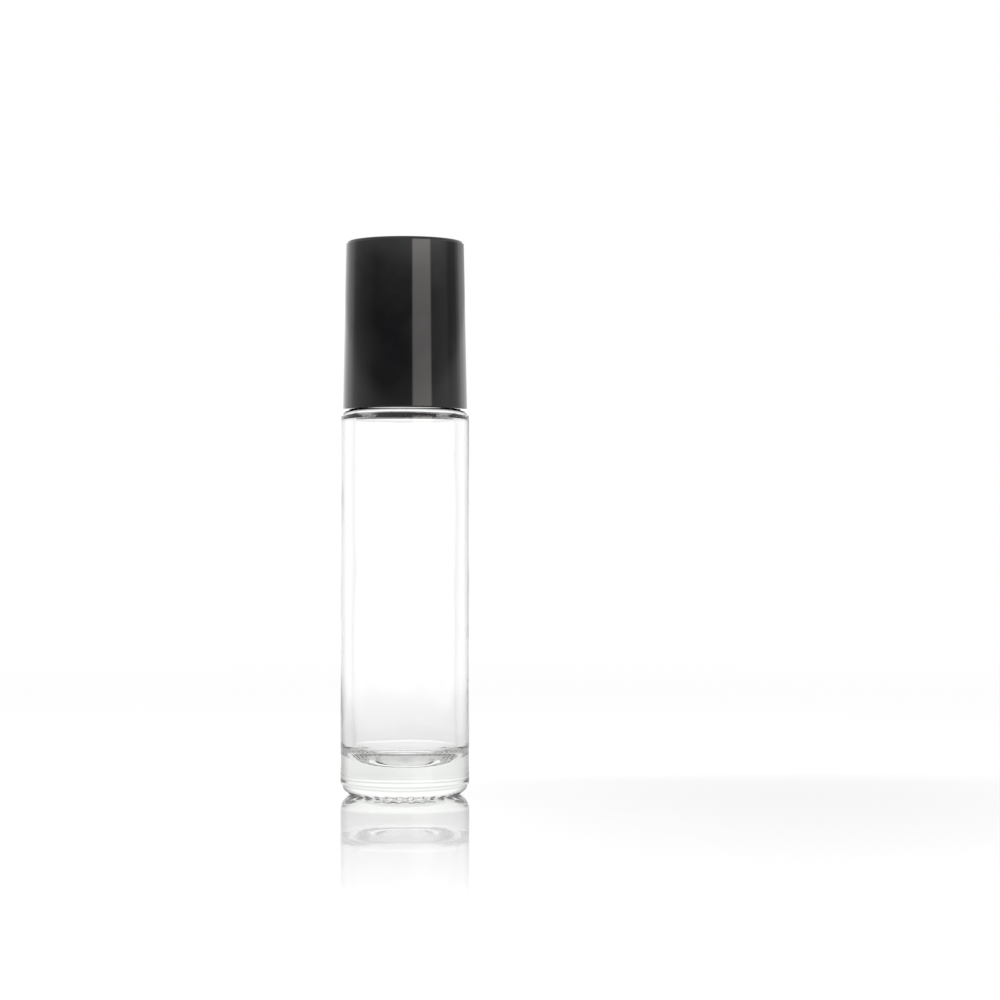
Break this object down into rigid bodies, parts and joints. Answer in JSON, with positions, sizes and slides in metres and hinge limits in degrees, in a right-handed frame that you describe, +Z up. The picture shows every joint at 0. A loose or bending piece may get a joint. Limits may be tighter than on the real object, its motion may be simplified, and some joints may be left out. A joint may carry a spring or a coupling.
{
  "type": "roll on bottle",
  "caption": "Thick walled clear glass roll on bottle with a steel roller ball in a press-in fitment and a tall glossy black screw cap.",
  "frame": {"origin": "middle of the base, on the surface that the bottle stands on", "axes": "+Z up along the bottle's axis; the bottle is round, so +X and +Y are alike"},
  "size_m": [0.02, 0.02, 0.0858],
  "materials": {
    "clear_glass": "clear, fire polished",
    "natural_polyethylene": "natural, slightly translucent",
    "polished_steel": "polished",
    "black_polypropylene": "smooth, glossy",
    "foam_liner": "fine closed cell foam"
  },
  "bodies": {
    "bottle": {"glass_bottle": "clear_glass", "roller_housing": "natural_polyethylene"},
    "ball": {"roller_ball": "polished_steel"},
    "liner": {"cap_liner": "foam_liner"},
    "cap": {"screw_cap": "black_polypropylene"}
  },
  "joints": [
    {"name": "ball_roll", "type": "hinge", "parent": "bottle", "child": "ball", "pos_m": [0, 0, 0.0774], "axis": [1, 0, 0], "continuous": true},
    {"name": "cap_rise", "type": "slide", "parent": "bottle", "child": "liner", "axis": [0, 0, 1], "range_m": [0, 0.027]},
    {"name": "cap_turn", "type": "hinge", "parent": "liner", "child": "cap", "pos_m": [0, 0, 0.0839], "axis": [0, 0, 1], "range_deg": [0, 3240]}
  ],
  "couplings": [
    {"joint": "cap_turn", "follows": "cap_rise", "rad_per_m": 2094.4}
  ]
}
